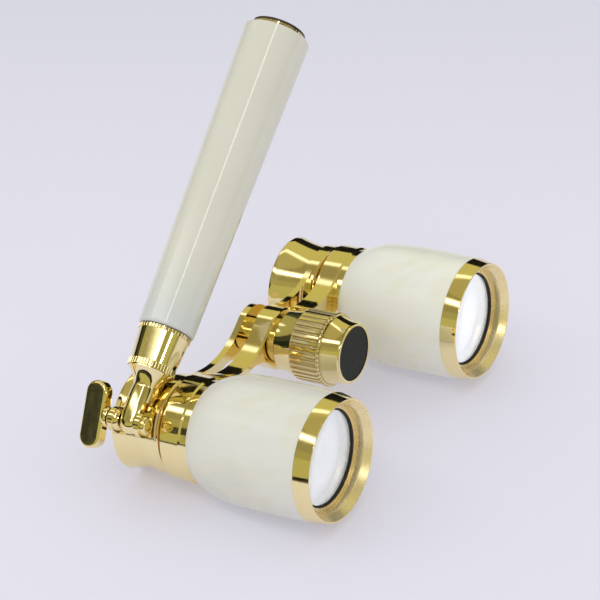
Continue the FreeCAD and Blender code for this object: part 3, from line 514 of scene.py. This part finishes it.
def strip_light(name, azimuth, elevation, distance, width, length, power, lean=0.0):
    """A long box light with soft long edges, which faces the object from that direction."""
    lamp = bpy.data.lights.new(name, "AREA")
    lamp.shape = "RECTANGLE"
    lamp.size = length
    lamp.size_y = width
    lamp.energy = power
    lamp.use_nodes = True
    lamp_nodes = lamp.node_tree.nodes
    spot = lamp_nodes.new("ShaderNodeNewGeometry")
    split_spot = lamp_nodes.new("ShaderNodeSeparateXYZ")
    edge = lamp_nodes.new("ShaderNodeValToRGB")
    edge.color_ramp.interpolation = "EASE"
    edge.color_ramp.elements.new(0.5)
    for element, glow in zip(edge.color_ramp.elements, (0.0, GLOW_PEAK, 0.0)):
        element.color = (glow, glow, glow, 1)
    for source, target in ((spot.outputs["Parametric"], split_spot.inputs[0]),
                           (split_spot.outputs["Y"], edge.inputs["Fac"]),
                           (edge.outputs["Color"], lamp_nodes["Emission"].inputs["Strength"])):
        lamp.node_tree.links.new(source, target)
    item = bpy.data.objects.new(name, lamp)
    bpy.context.scene.collection.objects.link(item)
    item.matrix_world = facing(direction(azimuth, elevation) * distance + AIM, azimuth, elevation, lean)
    item.visible_camera = False
    return item


strip_light("strip_front", -10, 57, 0.7, 0.20, 1.2, 1.15)
for settings in (("strip_rear", -152, 64, 0.7, 0.16, 1.2, 0.45),
                 ("window", 38.6, 61.6, 0.814, 0.10, 0.7, 0.9, WINDOW_LEAN),
                 ("door", 70, 22, 0.8, 0.16, 0.07, 0.45)):
    strip_light(*settings).visible_diffuse = False

# dark furniture that the thumb screw's flat face mirrors
CARD_HALF = 0.09
CARD_DISTANCE = 0.9
CARD_AZIMUTH = -37
CARD_ELEVATION = 18
dark_room = Shader("dark_room")
DARK_ROOM_TONE = dark_room.ramp(
    dark_room.noise(dark_room.place, 60.0, 5.0, 0.7),
    [(0.42, (0.003, 0.004, 0.002)), (0.54, (0.05, 0.055, 0.03)), (0.70, (0.34, 0.34, 0.2))])
card_mesh = bpy.data.meshes.new("dark_card")
card_mesh.from_pydata([(-CARD_HALF, -CARD_HALF, 0), (CARD_HALF, -CARD_HALF, 0),
                       (CARD_HALF, CARD_HALF, 0), (-CARD_HALF, CARD_HALF, 0)], [], [(0, 1, 2, 3)])
card_mesh.materials.append(dark_room.finish(Base_Color=DARK_ROOM_TONE, Roughness=0.9))
card = bpy.data.objects.new("dark_card", card_mesh)
bpy.context.scene.collection.objects.link(card)
card.matrix_world = facing(direction(CARD_AZIMUTH, CARD_ELEVATION) * CARD_DISTANCE,
                           CARD_AZIMUTH, CARD_ELEVATION)
only_mirrored(card)

# ---------------------------------------------------------------- room

world = bpy.data.worlds.new("room")
bpy.context.scene.world = world
world.use_nodes = True
tree = world.node_tree
for node in list(tree.nodes):
    tree.nodes.remove(node)


def world_node(kind, **settings):
    node = tree.nodes.new(kind)
    for key, setting in settings.items():
        setattr(node, key, setting)
    return node


def level(elevation):
    """Where an elevation in degrees falls on a ramp that runs from straight down to straight up."""
    return 0.5 + 0.5 * math.sin(math.radians(elevation))


def room_ramp(bands):
    """Hard-edged bands of wall brightness: (elevation where a band starts, colour)."""
    node = world_node("ShaderNodeValToRGB")
    node.color_ramp.interpolation = "CONSTANT"
    elements = node.color_ramp.elements
    while len(elements) < len(bands):
        elements.new(0.99)
    for element, (elevation, shade) in zip(elements, bands):
        element.position = level(elevation)
        element.color = (*shade, 1)
    return node


BLACK = (0.008, 0.008, 0.006)
DIM = (0.045, 0.05, 0.03)
OLIVE = (0.36, 0.34, 0.14)
CEILING = (0.42, 0.38, 0.17)
behind_bands = room_ramp([(-90, BLACK), (-8, DIM), (2, (0.015, 0.02, 0.012)), (14, DIM), (26, OLIVE),
                          (66, CEILING)])
near_bands = room_ramp([(-90, BLACK), (-13, (0.14, 0.11, 0.07)), (-11, BLACK),
                        (-6, (0.47, 0.45, 0.18)), (24, OLIVE), (36, (0.30, 0.27, 0.12)),
                        (66, CEILING)])
far_bands = room_ramp([(-90, BLACK), (28, (0.56, 0.52, 0.20)), (57, (0.50, 0.46, 0.18)),
                       (70, CEILING)])
place = world_node("ShaderNodeTexCoord")
split = world_node("ShaderNodeSeparateXYZ")
height = world_node("ShaderNodeMath", operation="MULTIPLY_ADD")
height.inputs[1].default_value = 0.5
height.inputs[2].default_value = 0.5
side_of = world_node("ShaderNodeMapRange")
side_of.inputs["From Min"].default_value = -0.35
side_of.inputs["From Max"].default_value = 0.0
blend = world_node("ShaderNodeMix", data_type="RGBA")
behind_of = world_node("ShaderNodeMapRange")
behind_of.inputs["From Min"].default_value = -0.56
behind_of.inputs["From Max"].default_value = -0.62
blend_behind = world_node("ShaderNodeMix", data_type="RGBA")
rays = world_node("ShaderNodeLightPath")
choose = world_node("ShaderNodeMix", data_type="RGBA")
choose.inputs["A"].default_value = (0.90, 0.90, 0.91, 1)
backdrop = world_node("ShaderNodeBackground")
output = world_node("ShaderNodeOutputWorld")
for source, target in ((place.outputs["Generated"], split.inputs[0]),
                       (split.outputs["Z"], height.inputs[0]),
                       (height.outputs[0], near_bands.inputs["Fac"]),
                       (height.outputs[0], far_bands.inputs["Fac"]),
                       (height.outputs[0], behind_bands.inputs["Fac"]),
                       (split.outputs["X"], side_of.inputs["Value"]),
                       (split.outputs["Y"], behind_of.inputs["Value"]),
                       (side_of.outputs["Result"], blend.inputs["Factor"]),
                       (far_bands.outputs["Color"], blend.inputs["A"]),
                       (near_bands.outputs["Color"], blend.inputs["B"]),
                       (behind_of.outputs["Result"], blend_behind.inputs["Factor"]),
                       (blend.outputs["Result"], blend_behind.inputs["A"]),
                       (behind_bands.outputs["Color"], blend_behind.inputs["B"]),
                       (rays.outputs["Is Glossy Ray"], choose.inputs["Factor"]),
                       (blend_behind.outputs["Result"], choose.inputs["B"]),
                       (choose.outputs["Result"], backdrop.inputs["Color"]),
                       (backdrop.outputs[0], output.inputs["Surface"])):
    tree.links.new(source, target)

# ---------------------------------------------------------------- camera

CAMERA_PLACE = (0.47859, 0.29164, 0.34335)
CAMERA_AZIMUTH = 34.13     # where the camera stands, from +X towards +Y
CAMERA_ELEVATION = 27.92
CAMERA_ROLL = -6.63
camera_data = bpy.data.cameras.new("camera")
camera_data.sensor_width = 36.0
camera_data.lens = 149.45
camera_data.clip_start = 0.05
camera_data.clip_end = 30.0
camera = bpy.data.objects.new("camera", camera_data)
bpy.context.scene.collection.objects.link(camera)
bpy.context.scene.camera = camera
camera.matrix_world = facing(CAMERA_PLACE, CAMERA_AZIMUTH, CAMERA_ELEVATION, CAMERA_ROLL)

bpy.context.scene.view_settings.view_transform = "Standard"
